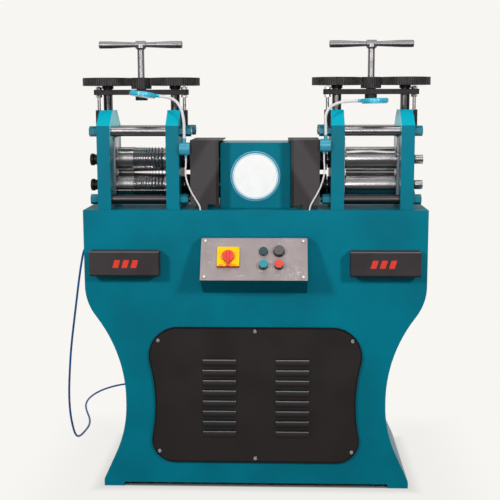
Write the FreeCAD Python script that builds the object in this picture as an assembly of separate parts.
import FreeCAD, Part
import math
import os

# Motor-driven double-headed jewellers rolling mill on a sheet-metal cabinet.
# Millimetres, +Z up, +X to the right, +Y towards the back.
# Origin: on the floor, in the middle of the width and of the depth.

os.makedirs("parts", exist_ok=True)
V = FreeCAD.Vector

# ---------------------------------------------------------------- driving sizes
# Cabinet
CABINET_WIDTH = 920.0
CABINET_DEPTH = 400.0
CABINET_HEIGHT = 770.0
SHEET = 2.0
DECK_THICK = 3.0
FOOT_HALF = 420.0            # half width over the feet
FOOT_WIDTH = 56.0
FOOT_HEIGHT = 11.0
FOOT_RISE = 19.0             # height of the upright edge above each foot
WAIST_HALF = 354.5           # half width at the waist
WAIST_LOW = 161.0            # where the lower flare meets the waist
FLARE_HEIGHT = 146.0         # from the waist to where the upper flare meets the upright sides
SHOULDER_HEIGHT = 520.0      # where the upper flare meets the upright sides
FOOT_CORNER_R = 22.0
LOWER_WAIST_SHARE = 0.34     # part of the upright waist that the lower waist arc takes up
UPPER_WAIST_SHARE = 0.59     # and the upper one
SHOULDER_SHARE = 0.83        # part of the flare above the waist arc that the shoulder arc takes up

# Service cover on the cabinet front
COVER_TOP = 452.5
COVER_BOTTOM = 73.5
COVER_WAIST_HALF = 273.0
COVER_WAIST_DROP = 23.0      # waist of the cover below its middle
COVER_SIDE_R = 470.0
COVER_TOP_CORNER_R = 80.0
COVER_LOW_CORNER_R = 62.0
COVER_SCREW_SIDE = 10.0      # side screws inside the waist
COVER_SCREW_LOW = 32.0       # low side screws above the cover's lower edge
COVER_SCREW_HIGH = 36.0      # high side screws below its upper edge
COVER_SCREW_TOP = 10.0
COVER_SCREW_BOTTOM = 12.5
COVER_STAND = 8.0            # how far the cover stands off the front panel
EDGING_WIDTH = 3.5
EDGING_DEPTH = 9.0
LOUVRE_WIDTH = 90.5
LOUVRE_HEIGHT = 18.5
LOUVRE_PITCH = 28.7
LOUVRE_ROWS = 8
LOUVRE_TOP = 364.8
LOUVRE_SHIFT = 2.0           # both columns stand this far to the right
LOUVRE_INNER = 54.0
LOUVRE_REACH = 6.5
LOUVRE_WALL = 1.3
LOUVRE_SLOT_RATIO = 0.55     # slot in the panel behind each louvre, in louvre heights
LOUVRE_SLOT_INSET = 2.0
LOUVRE_MOUTH_DROP = 3.0      # louvre mouth ends this far above the louvre's lower edge
SCREW_HEAD_D = 11.0
SCREW_HEAD_H = 3.5
SCREW_SHANK_D = 5.0
SCREW_BITE = 4.0             # shanks reach this far behind the sheet
SCREW_CROWN_RATIO = 0.45     # rounding of a head, in head heights
SIDE_BOLT_INSET = 60.0       # side bolts from the front and rear faces
SIDE_BOLT_LOW = 613.5
SIDE_BOLT_HIGH = 701.5
SIDE_BOLT_HEAD_D = 13.2
SIDE_BOLT_HEAD_H = 7.0
SIDE_BOLT_BITE = 5.0

# Control box
BOX_HALF = 139.0
BOX_TOP = 701.0
BOX_TOP_REACH = 43.0
BOX_FACE_DROP = 100.0
BOX_REACH = 112.0
BOX_FLOOR = 547.0
NOSE_INSET = 0.4             # wall inset of the lower front corner, in walls
FLOOR_INSET = 1.3            # wall inset of the sloping underside, in walls
PLATE_THICK = 2.0
PLATE_MARGIN = 18.0          # box rim left under the faceplate
PLATE_SCREW_D = 8.8
PLATE_SCREW_H = 2.45
PLATE_SCREW_SHANK_D = 4.0
PLATE_SCREW_INSET = 11.0
PLATE_SCREW_TOP = 8.5
PLATE_SCREW_BOTTOM = 9.5
BUTTON_D = 21.5
BUTTON_COLLAR_D = 23.5
BLACK_BUTTON_D = 26.0
BLACK_COLLAR_D = 30.0
BUTTON_COLLAR_H = 5.0
BUTTON_BARREL_D = 19.0
BUTTON_BARREL_L = 12.0
BUTTON_STEM_D = 15.0
BUTTON_STEM_L = 16.0
BUTTON_RISE = 16.0           # button top above the faceplate
PILOT_RISE = 11.0
PILOT_D = 21.0
BUTTON_TRAVEL = 4.0
BUTTON_ROW = 20.0            # half the distance between the two button rows
PILOT_X = 24.5
BUTTON_X = 65.0
ISOLATOR_X = -67.0
ISOLATOR_LIFT = 4.0          # above the middle of the faceplate
ISOLATOR_PLATE = 58.0
ISOLATOR_PLATE_T = 6.0
ISOLATOR_KNOB_D = 32.0
ISOLATOR_KNOB_TOP = 14.0
ISOLATOR_GRIP_HALF_W = 3.5
ISOLATOR_GRIP_UP = 11.0
ISOLATOR_GRIP_DOWN = 22.0
ISOLATOR_GRIP_TOP = 20.0
ISOLATOR_GRIP_R = 2.0
ISOLATOR_POINTER = 30.0      # reach of the pointer from the knob's axis
ISOLATOR_POINTER_ROOT = 6.5  # half width of the pointer at the knob
ISOLATOR_POINTER_TIP = 3.0
ISOLATOR_POINTER_GAP = 0.5   # under the pointer
ISOLATOR_SPINDLE_D = 8.0
ISOLATOR_SPINDLE_L = 14.0
ISOLATOR_HOLE_D = 16.0

# Stop bars
STOP_INSET = 115.0           # middle of each bar from the cabinet side
STOP_Z = 632.5
STOP_LENGTH = 185.0
STOP_HEIGHT = 67.0
STOP_THICK = 38.0
STOP_STAND = 12.0
STOP_TRAVEL = 5.0
STOP_STEM_D = 20.0
STOP_STEM_L = 8.0            # stem behind the front panel
STOP_BASE_HALF_W = 32.0
STOP_BASE_HALF_H = 22.0
STOP_CORNER_R = 3.0
STOP_RIM_R = 2.5

# Mill heads
HEAD_INSET = 148.5           # middle of each head from the cabinet side
FRAME_SPACING = 184.0        # between the middles of the two frames of a head
FRAME_THICK = 35.0
FRAME_DEPTH = 186.0
FRAME_SETBACK = 13.0         # frames stand this far behind the cabinet front
CHAMFER_RUN = 55.5
CHAMFER_DROP = 40.5
WINDOW_WIDTH = 66.0
FRAME_HEAD = 48.5            # solid height above the window
WINDOW_SPARE = 15.7          # room left above a fully raised upper chock
ROLL_D = 68.5
ROLLS_CLOSED_GAP = 0.2       # left between the rolls when fully closed
ROLL_SIDE_PLAY = 3.5         # roll body end to the chocks
ROLL_HEIGHT = 59.5           # lower roll axis above the deck
ROLL_NECK_D = 40.0
ROLL_JOURNAL_D = 27.0        # shaft through the bearing covers
ROLL_STUB_D = 25.0
STUB_SHOULDER = 0.5          # journal shown past the bearing cover of a bare end
ROLL_COLLAR_D = 50.0
STUB_REACH = 34.0            # bare shaft end outside the frame
CAP_SEAT_REACH = 8.0         # shaft end that carries a left-hand end cap
CAP_D = 33.0
CAP_T = 12.0
CAP_R = 4.0
CAP_STEM_D = 28.0
CAP_STEM_L = 16.5
OPEN_TRAVEL = 8.8            # chocks can rise this far from rest
CLOSE_TRAVEL = 0.8           # and fall this far
CHOCK_BELOW = 35.5
CHOCK_ABOVE = 61.5
CHOCK_INNER_LIP = 5.0        # chock stands this far inside the frame
CHOCK_COVER_D = 46.0
CHOCK_COVER_T = 6.0
NECK_END_PLAY = 0.3          # roll neck to chock bore, end to end
GROOVE_COUNT = 12
GROOVE_END_LAND = 2.2        # plain land between the last groove and the roll's end
GROOVE_FIRST = 4.0
GROOVE_STEP = 0.5
GROOVE_LAND = 0.4
GROOVE_DEPTH_RATIO = 0.42

# Tie rods of the heads
TIE_D = 26.5
TIE_THREAD_D = 16.0
TIE_NUT_AF = 24.0
TIE_NUT_LENGTH = 22.0
TIE_STACKED_NUT_LENGTH = 16.0
TIE_STACKED_NUT_GAP = 0.2
TIE_END_SHORT = 1.0          # thread shown past a single outer nut or a stack
TIE_END_LONG = 5.0           # thread shown past a single inner nut
TIE_INSET = 23.0             # rod axis behind the frame's front edge
TIE_LOW = 26.0               # lower rods above the deck
TIE_TOP_DROP = 55.5          # upper rods below the frame top

# Screw-down gear
BRIDGE_GAP = 41.0            # bridge above the frame top
BRIDGE_THICK = 14.0
BRIDGE_WIDTH = 40.0
BRIDGE_END = 11.5            # bridge past the stud axis
BRIDGE_BOSS_D = 33.0
BRIDGE_BOSS_H = 15.0
BRIDGE_CORNER_R = 8.0
STUD_OUTSIDE = 7.5           # stud axis outside the frame
STUD_D = 9.0
STUD_NUT_AF = 15.0
STUD_NUT_H = 7.0
STUD_END = 1.5               # thread shown past the upper nut
STUD_WALL = 4.0              # bracket metal outside the stud
STUD_BRACKET_H = 46.0
STUD_BRACKET_W = 16.0
SCREW_D = 25.0
SCREW_TIP_D = 16.0
SCREW_TIP_H = 12.0
SCREW_TIP_PLAY = 0.5         # under the screw tip, so that the shoulder carries the load
SCREW_HEAD_RISE = 0.6        # screw end above its gear
GEAR_TEETH = 66
PINION_TEETH = 26
TOOTH_ADDENDUM = 1.5
TOOTH_DEDENDUM = 1.9
TOOTH_BACKLASH = 0.35
GEAR_THICK = 21.0
GEAR_HUB_D = 31.0
GEAR_HUB_H = 8.5
PINION_HEIGHT = 30.0
PINION_LIFT = 2.0
PINION_PROUD = 0.5           # pinion top above the gear tops
PINION_SHOULDER_D = 26.5
HANDLE_SHAFT_D = 18.5
HANDLE_RISE = 88.0           # handle bar above the pinion
HANDLE_HALF = 113.0
HANDLE_END_D = 19.5
HANDLE_MID_D = 13.5
HANDLE_HUB_D = 21.0
HANDLE_HUB_L = 27.0
HANDLE_END_CHAMFER = 1.5
HANDLE_GRIP_L = 30.0         # full-thickness length at each end
HANDLE_COLLAR_DROP = 9.0
HANDLE_CONE_H = 5.0

# Wire guide
GUIDE_DEPTH = 48.0           # rod behind the cabinet front
GUIDE_DROP = 10.5            # rod below the lower roll axis
GUIDE_D = 4.0
GUIDE_KNOB_D = 9.0
GUIDE_KNOB_L = 6.0
GUIDE_KNOB_INSET = 3.0

# Central drive
HOUSING_HALF = 96.0
HOUSING_HEIGHT = 176.5
HOUSING_SETBACK = 62.0
HOUSING_DEPTH = 153.0
HOUSING_WALL = 5.0
HOUSING_EDGE_R = 3.0
BADGE_D = 134.0
BADGE_THICK = 3.0
BADGE_RISE = 86.0
GUARD_GAP = 3.5              # outer side of a guard to the coupling sleeve
GUARD_SETBACK = 11.0
GUARD_DEPTH = 194.0
GUARD_RISE = 185.0
GUARD_SKIRT = 14.0           # guard's lower edge above the deck
GUARD_LIP = 8.0
GUARD_FOOT_SHIFT = 3.0       # feet outside the middle of the guard
GUARD_FOOT_W = 21.0
GUARD_SLOT_HALF = 20.0       # slot for the roll ends, about the roll axis
GUARD_SLOT_BELOW = 20.0
GUARD_SLOT_ABOVE = 24.0
SHAFT_D = 27.0
SLEEVE_D = 58.0
CUP_SPARE = 0.7              # between the cup and the shaft's end at full travel
SLEEVE_LENGTH = 18.0
SLEEVE_CUP = 12.0
SLEEVE_PLAY = 2.5            # sleeve to chock cover
DRIVE_TEETH = 24
DRIVE_GEAR_WIDTH = 22.0
DRIVE_GEAR_X = 40.0
DRIVE_ADDENDUM = 2.0
DRIVE_DEDENDUM = 2.6
UPPER_SHAFT_SHORT = 2.5      # upper drive shaft stops short of the cup floors
WHEEL_D = 72.0
WHEEL_WIDTH = 20.0
WHEEL_X = -45.0
WORM_D = 24.0
WORM_GAP = 0.5
WORM_LENGTH = 70.0
WORM_HOLE_ROOM = 3.0         # radial room where the worm passes the deck
WORM_SPINDLE_END = 12.0      # spindle above the worm
MOTOR_D = 150.0
MOTOR_LENGTH = 250.0
MOTOR_FLANGE = 170.0
MOTOR_FLANGE_T = 12.0
MOTOR_SHAFT_D = 19.0
MOTOR_BORE_L = 60.0
MOTOR_SHAFT_L = 59.0
MOTOR_FIN_COUNT = 12
MOTOR_FIN_H = 6.0
MOTOR_FIN_SINK = 3.0
MOTOR_FIN_T = 3.0
MOTOR_FIN_TOP = 20.0         # fins stop this far below the flange
MOTOR_FIN_BOTTOM = 30.0      # and start this far above the lower end
TERMINAL_HALF = 45.0
TERMINAL_REACH = 40.0
TERMINAL_TOP = 70.0
TERMINAL_BOTTOM = 160.0

# Work lamps
LAMP_SETBACK = 14.0
LAMP_BASE_D = 34.0
LAMP_BASE_L = 28.0
LAMP_BASE_EDGE_R = 1.5
LAMP_BOSS_D = 8.0            # lead boss under the base
LAMP_BOSS_L = 5.0
LAMP_BOSS_X = 11.0           # boss axis outside the guard's side
LAMP_COLLAR_D = 10.0
LAMP_COLLAR_H = 11.0
LAMP_NECK_D = 8.0
LAMP_HEAD_D = 72.0
LAMP_HEAD_H = 10.0
LAMP_HEAD_EDGE_R = 4.0
LAMP_SOCKET_D = 9.0
LAMP_SOCKET_L = 8.0
LAMP_SOCKET_SINK = 6.0
LAMP_LENS_D = 66.0
LAMP_LENS_H = 3.0
LEFT_LAMP_TILT = 4.0         # front edge of the head raised by this angle
RIGHT_LAMP_TILT = 2.0
LEAD_D = 4.5
LEAD_HOLE_INSET = 27.0       # hole inside the guard's outer side
LEAD_HOLE_DEPTH = 6.0        # lead hole behind the cabinet front
LEAD_STRAIGHT = 8.0          # upright run above the deck
LEAD_TAIL = 6.0              # lead end below the deck plate
LEFT_LAMP_RISE = 162.0       # lamp base above the deck
RIGHT_LAMP_RISE = 171.0

# Mains cord
CORD_D = 6.5
CORD_DEPTH = 350.0           # gland behind the cabinet front
CORD_EXIT_Z = 636.0
GLAND_D = 22.0
GLAND_NUT_L = 8.0
GLAND_CAP_D = 18.04
GLAND_CAP_END = 16.0
GLAND_TIP_D = 11.0
GLAND_BARREL_D = 15.4
GLAND_BARREL_L = 6.0         # barrel behind the side sheet
GLAND_REACH = 24.0
PLUG_BODY_D = 37.0
PLUG_BODY_L = 30.0
PLUG_AXIS_Z = 19.0
PLUG_RELIEF_L = 34.0
PLUG_RELIEF_D0 = 8.0
PLUG_RELIEF_D1 = 14.0
PLUG_RELIEF_SLOPE = 0.25
PLUG_RELIEF_LIFT = 2.0
PLUG_BODY_SETBACK = 32.0
PLUG_PIN_D = 4.8
PLUG_PIN_HALF = 9.5
PLUG_PIN_L = 18.0
COIL_MEAN_D = 75.0
COIL_SECTION = 14.0
COIL_TOUCH = 29.0            # cord and plug meet the coil this far from its middle

BEND_RATIO = 0.45            # part of the shorter run that a bend takes up

# Clearances
RUNNING = 0.05               # radial, shafts and bores
SLIDING = 0.1                # chocks in their windows
LOOSE = 0.3                  # moving pieces that only pass by
SCREW_HOLE = 0.1
JOIN = 1.0                   # overlap of pieces that are made as one solid

# ---------------------------------------------------------------- worked out
WAIST_HIGH = SHOULDER_HEIGHT - FLARE_HEIGHT
ROLL_GAP = CLOSE_TRAVEL + ROLLS_CLOSED_GAP
WINDOW_FREE = OPEN_TRAVEL + WINDOW_SPARE
FRONT_Y = -(CABINET_DEPTH - BOX_REACH) / 2
BACK_Y = FRONT_Y + CABINET_DEPTH
SIDE_X = CABINET_WIDTH / 2
STOP_X = SIDE_X - STOP_INSET
HEAD_X = SIDE_X - HEAD_INSET
DECK_Z = CABINET_HEIGHT
ROLL_Y = FRONT_Y + FRAME_SETBACK + FRAME_DEPTH / 2
LOWER_Z = DECK_Z + ROLL_HEIGHT
UPPER_Z = LOWER_Z + ROLL_D + ROLL_GAP
WINDOW_BOTTOM = LOWER_Z - CHOCK_BELOW
CHOCK_TOP = UPPER_Z + CHOCK_ABOVE
WINDOW_TOP = CHOCK_TOP + WINDOW_FREE
FRAME_TOP = WINDOW_TOP + FRAME_HEAD
FRAME_X = FRAME_SPACING / 2
FRAME_OUTER = FRAME_X + FRAME_THICK / 2
FRAME_INNER = FRAME_X - FRAME_THICK / 2
ROLL_HALF = FRAME_INNER - CHOCK_INNER_LIP - ROLL_SIDE_PLAY
STUD_X = FRAME_OUTER + STUD_OUTSIDE
BRIDGE_HALF = STUD_X + BRIDGE_END
GEAR_MODULE = FRAME_SPACING / (GEAR_TEETH + PINION_TEETH)
BRIDGE_BOTTOM = FRAME_TOP + BRIDGE_GAP
BRIDGE_TOP = BRIDGE_BOTTOM + BRIDGE_THICK
PINION_BOTTOM = BRIDGE_TOP + PINION_LIFT
PINION_TOP = PINION_BOTTOM + PINION_HEIGHT
GEAR_TOP = PINION_TOP - PINION_PROUD
GEAR_BOTTOM = GEAR_TOP - GEAR_THICK
HANDLE_Z = PINION_TOP + HANDLE_RISE
COUPLING_X = HEAD_X - FRAME_OUTER - CHOCK_COVER_T
SLEEVE_OUTER = COUPLING_X - SLEEVE_PLAY
SLEEVE_INNER = SLEEVE_OUTER - SLEEVE_LENGTH
SLEEVE_BORE = SHAFT_D + 2 * (max(OPEN_TRAVEL, CLOSE_TRAVEL) + CUP_SPARE)
GUARD_OUTER = SLEEVE_INNER - GUARD_GAP
GUARD_FOOT_X = (HOUSING_HALF + GUARD_OUTER) / 2 + GUARD_FOOT_SHIFT
LEAD_HOLE_X = GUARD_OUTER - LEAD_HOLE_INSET
CUP_FLOOR = SLEEVE_INNER + SLEEVE_CUP
TIE_TOP_Z = FRAME_TOP - TIE_TOP_DROP
TIE_LOW_Z = DECK_Z + TIE_LOW
TIE_FRONT_Y = FRONT_Y + FRAME_SETBACK + TIE_INSET
TIE_BACK_Y = FRONT_Y + FRAME_SETBACK + FRAME_DEPTH - TIE_INSET
COVER_FACE_Y = FRONT_Y - COVER_STAND
HOUSING_Y = FRONT_Y + HOUSING_SETBACK
HOUSING_TOP = DECK_Z + HOUSING_HEIGHT
GUARD_Y = FRONT_Y + GUARD_SETBACK
WORM_Y = ROLL_Y + WHEEL_D / 2 + WORM_GAP + WORM_D / 2


# ---------------------------------------------------------------- shapes
def box(x0, x1, y0, y1, z0, z1):
    return Part.makeBox(x1 - x0, y1 - y0, z1 - z0, V(x0, y0, z0))


def cyl_x(x0, x1, y, z, d):
    return Part.makeCylinder(d / 2, x1 - x0, V(x0, y, z), V(1, 0, 0))


def cyl_y(x, y0, y1, z, d):
    return Part.makeCylinder(d / 2, y1 - y0, V(x, y0, z), V(0, 1, 0))


def cyl_z(x, y, z0, z1, d):
    return Part.makeCylinder(d / 2, z1 - z0, V(x, y, z0), V(0, 0, 1))


def hexagon_x(x0, x1, y, z, across):
    """Hexagonal bar along X with a flat towards the front."""
    radius = across / math.sqrt(3)
    corners = []
    for i in range(6):
        a = math.radians(30 + 60 * i)
        corners.append(V(x0, y + radius * math.cos(a), z + radius * math.sin(a)))
    wire = Part.makePolygon(corners + [corners[0]])
    return Part.Face(wire).extrude(V(x1 - x0, 0, 0))


def hexagon_z(x, y, z0, z1, across):
    radius = across / math.sqrt(3)
    corners = []
    for i in range(6):
        a = math.radians(60 * i)
        corners.append(V(x + radius * math.cos(a), y + radius * math.sin(a), z0))
    wire = Part.makePolygon(corners + [corners[0]])
    return Part.Face(wire).extrude(V(0, 0, z1 - z0))


def rounded_edges(points, radii, closed):
    """Straight runs joined by tangent arcs; a radius of 0 keeps the corner sharp."""
    count = len(points)
    starts = list(points)
    ends = list(points)
    middles = [None] * count
    for i in range(count):
        if radii[i] <= 0:
            continue
        before = points[i - 1]
        after = points[(i + 1) % count]
        u = (before - points[i]).normalize()
        w = (after - points[i]).normalize()
        half = u.getAngle(w) / 2
        reach = radii[i] / math.tan(half)
        starts[i] = points[i] + u * reach
        ends[i] = points[i] + w * reach
        bisector = (u + w).normalize()
        middles[i] = points[i] + bisector * (radii[i] / math.sin(half) - radii[i])
    edges = []
    last = count if closed else count - 1
    for i in range(count):
        if middles[i] is not None:
            edges.append(Part.Arc(starts[i], middles[i], ends[i]).toShape())
        if i < last:
            following = starts[(i + 1) % count]
            if ends[i].distanceToPoint(following) > 1e-6:
                edges.append(Part.LineSegment(ends[i], following).toShape())
    return edges


def rounded_face(points, radii):
    return Part.Face(Part.Wire(rounded_edges(points, radii, True)))


def mirrored(shape):
    return shape.mirror(V(0, 0, 0), V(1, 0, 0))


def turned(profile, axis_point, axis):
    """Closed profile (list of points) turned once about an axis."""
    face = Part.Face(Part.makePolygon(profile + [profile[0]]))
    return face.revolve(axis_point, axis, 360)


def fuse_all(shapes):
    result = shapes[0]
    for shape in shapes[1:]:
        result = result.fuse(shape)
    return result.removeSplitter()


def cut_all(shape, tools):
    for tool in tools:
        shape = shape.cut(tool)
    return shape


def save(name, *shapes):
    solids = []
    for shape in shapes:
        solids.extend(shape.Solids)
    for solid in solids:
        if not solid.isValid():
            print("not valid:", name)
    result = solids[0] if len(solids) == 1 else Part.makeCompound(solids)
    result.exportStep("parts/" + name + ".step")
    return result


def shifted(points, radii, amount):
    """An open outline moved sideways by an amount to its left, corner radii to match."""
    moved = []
    sizes = []
    count = len(points)
    for i in range(count):
        before = points[i] - points[i - 1] if i > 0 else points[1] - points[0]
        after = points[i + 1] - points[i] if i < count - 1 else before
        before.normalize()
        after.normalize()
        left_before = V(-before.z, 0, before.x)
        left_after = V(-after.z, 0, after.x)
        middle = (left_before + left_after).normalize()
        moved.append(points[i] + middle * (amount / middle.dot(left_before)))
        turn = before.x * after.z - before.z * after.x
        if radii[i] <= 0:
            sizes.append(0)
        else:
            sizes.append(radii[i] - amount if turn > 0 else radii[i] + amount)
    return moved, sizes


def tooth_half_angle(teeth, module, radius):
    """Half the angle that an involute tooth takes up at a radius."""
    pressure = math.radians(20)
    pitch_r = teeth * module / 2
    base_r = pitch_r * math.cos(pressure)
    at_radius = math.acos(min(1.0, base_r / radius))
    involute = (math.tan(pressure) - pressure) - (math.tan(at_radius) - at_radius)
    return math.pi / (2 * teeth) + involute - TOOTH_BACKLASH / (2 * pitch_r)


def spur_gear(teeth, module, addendum, dedendum, phase, origin, x_axis, y_axis, width):
    """Spur gear blank with straight-sided teeth, extruded along x_axis x y_axis."""
    pitch_r = teeth * module / 2
    root_r = pitch_r - dedendum
    tip_r = pitch_r + addendum
    at_root = tooth_half_angle(teeth, module, root_r)
    at_tip = tooth_half_angle(teeth, module, tip_r)
    corners = []
    for i in range(teeth):
        middle = phase + 2 * math.pi * i / teeth
        for radius, angle in (
            (root_r, middle - at_root),
            (tip_r, middle - at_tip),
            (tip_r, middle + at_tip),
            (root_r, middle + at_root),
        ):
            along = x_axis * (radius * math.cos(angle))
            across = y_axis * (radius * math.sin(angle))
            corners.append(origin + along + across)
    face = Part.Face(Part.makePolygon(corners + [corners[0]]))
    return face.extrude(x_axis.cross(y_axis) * width)


def tube(points, diameter):
    """Round tube along straight runs joined by tangent arcs."""
    radii = [0.0]
    for i in range(1, len(points) - 1):
        u = (points[i - 1] - points[i])
        w = (points[i + 1] - points[i])
        shorter = min(u.Length, w.Length)
        turn = math.pi - u.getAngle(w)
        radii.append(BEND_RATIO * shorter / math.tan(turn / 2))
    radii.append(0.0)
    path = Part.Wire(rounded_edges(points, radii, False))
    start = points[0]
    direction = points[1] - points[0]
    ring = Part.Wire(Part.makeCircle(diameter / 2, start, direction))
    solid = path.makePipeShell([ring], True, False)
    return solid, path.Length, radii[1:-1]


# ---------------------------------------------------------------- cabinet
def tangent_radius(before, corner, after, reach):
    """Radius of the arc that leaves both runs of a corner at the same reach."""
    half = (before - corner).getAngle(after - corner) / 2
    return reach * math.tan(half)


def side_outline():
    points = [
        V(FOOT_HALF, 0, 0),
        V(FOOT_HALF, 0, FOOT_RISE),
        V(WAIST_HALF, 0, WAIST_LOW),
        V(WAIST_HALF, 0, WAIST_HIGH),
        V(SIDE_X, 0, SHOULDER_HEIGHT),
        V(SIDE_X, 0, CABINET_HEIGHT),
    ]
    waist = WAIST_HIGH - WAIST_LOW
    flare = points[4].distanceToPoint(points[3])
    upper_reach = waist * UPPER_WAIST_SHARE
    reaches = (waist * LOWER_WAIST_SHARE, upper_reach, (flare - upper_reach) * SHOULDER_SHARE)
    arcs = [tangent_radius(*points[i:i + 3], reach) for i, reach in enumerate(reaches, 1)]
    return points, [0, FOOT_CORNER_R] + arcs + [0]


def hourglass_panel(y0, y1):
    points, radii = side_outline()
    foot_inner = FOOT_HALF - FOOT_WIDTH
    notch = [V(-foot_inner, 0, 0), V(-foot_inner, 0, FOOT_HEIGHT)]
    notch += [V(foot_inner, 0, FOOT_HEIGHT), V(foot_inner, 0, 0)]
    left = [V(-p.x, 0, p.z) for p in reversed(points)]
    face = rounded_face(points + left + notch, radii + list(reversed(radii)) + [0] * 4)
    face.translate(V(0, y0, 0))
    return face.extrude(V(0, y1 - y0, 0))


def louvre_columns():
    """Left edge of each louvre column."""
    return [LOUVRE_SHIFT - LOUVRE_INNER - LOUVRE_WIDTH, LOUVRE_SHIFT + LOUVRE_INNER]


def louvre_tops():
    return [LOUVRE_TOP - LOUVRE_PITCH * i for i in range(LOUVRE_ROWS)]


def cover_screw_places():
    side = COVER_WAIST_HALF - COVER_SCREW_SIDE
    low = COVER_BOTTOM + COVER_SCREW_LOW
    high = COVER_TOP - COVER_SCREW_HIGH
    return [
        (-side, high), (0, COVER_TOP - COVER_SCREW_TOP), (side, high),
        (-side, low), (0, COVER_BOTTOM + COVER_SCREW_BOTTOM), (side, low),
    ]


def build_cabinet():
    inner = SHEET
    front = hourglass_panel(FRONT_Y, FRONT_Y + inner)
    slot_height = LOUVRE_HEIGHT * LOUVRE_SLOT_RATIO
    slot_in = LOUVRE_SLOT_INSET
    tools = []
    for x in louvre_columns():
        for top in louvre_tops():
            tools.append(box(x + slot_in, x + LOUVRE_WIDTH - slot_in, FRONT_Y - 1, FRONT_Y + inner + 1,
                             top - slot_height, top - slot_in / 2))
    for x, z in cover_screw_places():
        tools.append(cyl_y(x, FRONT_Y - 1, FRONT_Y + inner + 1, z, SCREW_SHANK_D + 2 * SCREW_HOLE))
    for side in (-1, 1):
        tools.append(cyl_y(side * STOP_X, FRONT_Y - 1, FRONT_Y + inner + 1, STOP_Z,
                           STOP_STEM_D + 2 * LOOSE))
    save("cabinet_front_panel", cut_all(front, tools))

    save("cabinet_rear_panel", hourglass_panel(BACK_Y - inner, BACK_Y))

    points, radii = side_outline()
    inner_points, inner_radii = shifted(points, radii, SHEET)
    loop = points + list(reversed(inner_points))
    face = rounded_face(loop, radii + list(reversed(inner_radii)))
    face.translate(V(0, FRONT_Y + inner, 0))
    side_panel = face.extrude(V(0, CABINET_DEPTH - 2 * inner, 0))
    bolt_tools = []
    for y, z in side_bolt_places():
        bolt_tools.append(cyl_x(SIDE_X - 2 * SHEET, SIDE_X + 1, y, z, SCREW_SHANK_D + 2 * SCREW_HOLE))
    right = cut_all(side_panel, bolt_tools)
    gland_hole = cyl_x(-SIDE_X - 1, -SIDE_X + 2 * SHEET, FRONT_Y + CORD_DEPTH, CORD_EXIT_Z,
                       GLAND_BARREL_D + 2 * SCREW_HOLE)
    save("cabinet_side_panels", right, mirrored(right).cut(gland_hole))

    deck = box(-SIDE_X + SHEET, SIDE_X - SHEET, FRONT_Y + inner, BACK_Y - inner,
               DECK_Z - DECK_THICK, DECK_Z)
    worm_hole = cyl_z(WHEEL_X, WORM_Y, DECK_Z - DECK_THICK - 1, DECK_Z + 1,
                      WORM_D + 2 * WORM_HOLE_ROOM)
    lead_holes = []
    for side in (-1, 1):
        lead_holes.append(cyl_z(side * LEAD_HOLE_X, LEAD_HOLE_Y, DECK_Z - DECK_THICK - 1, DECK_Z + 1,
                                LEAD_D + 2 * LOOSE))
    save("cabinet_top_plate", cut_all(deck, [worm_hole] + lead_holes))

    foot_inner = FOOT_HALF - FOOT_WIDTH
    y0 = FRONT_Y + inner
    y1 = BACK_Y - inner
    floor = box(-foot_inner - 1, foot_inner + 1, y0, y1, FOOT_HEIGHT, FOOT_HEIGHT + DECK_THICK)
    pieces = [floor]
    for side in (-1, 1):
        x0 = min(side * foot_inner, side * (FOOT_HALF - SHEET))
        x1 = max(side * foot_inner, side * (FOOT_HALF - SHEET))
        pieces.append(box(x0, x1, y0, y1, 0, FOOT_HEIGHT + DECK_THICK))
    save("cabinet_base", fuse_all(pieces))


def side_bolt_places():
    """(y, z) of the bolts in each side panel."""
    places = []
    for y in (FRONT_Y + SIDE_BOLT_INSET, BACK_Y - SIDE_BOLT_INSET):
        for z in (SIDE_BOLT_LOW, SIDE_BOLT_HIGH):
            places.append((y, z))
    return places


def cover_corner(size, level, up, side_middle, side_radius):
    """Arc from a level edge of the cover to its hollow side: flat end, middle and side end."""
    heart_z = level - up * size
    run = math.sqrt((side_radius + size) ** 2 - (heart_z - side_middle.z) ** 2)
    heart = V(side_middle.x - run, 0, heart_z)
    towards = (side_middle - heart).normalize()
    between = (towards + V(0, 0, up)).normalize()
    return heart + V(0, 0, up * size), heart + between * size, heart + towards * size


def cover_outline(inset):
    waist_z = (COVER_BOTTOM + COVER_TOP) / 2 - COVER_WAIST_DROP
    waist = COVER_WAIST_HALF - inset
    radius = COVER_SIDE_R + inset
    side_middle = V(waist + radius, 0, waist_z)
    top = cover_corner(COVER_TOP_CORNER_R - inset, COVER_TOP - inset, 1, side_middle, radius)
    low = cover_corner(COVER_LOW_CORNER_R - inset, COVER_BOTTOM + inset, -1, side_middle, radius)
    half = [Part.Arc(*top), Part.Arc(top[2], V(waist, 0, waist_z), low[2]), Part.Arc(*low)]
    half = [arc.toShape() for arc in half]
    edges = half + [mirrored(edge) for edge in half]
    for flat_end in (top[0], low[0]):
        edges.append(Part.LineSegment(V(-flat_end.x, 0, flat_end.z), flat_end).toShape())
    return Part.Face(Part.Wire(Part.__sortEdges__(edges)))


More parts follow.
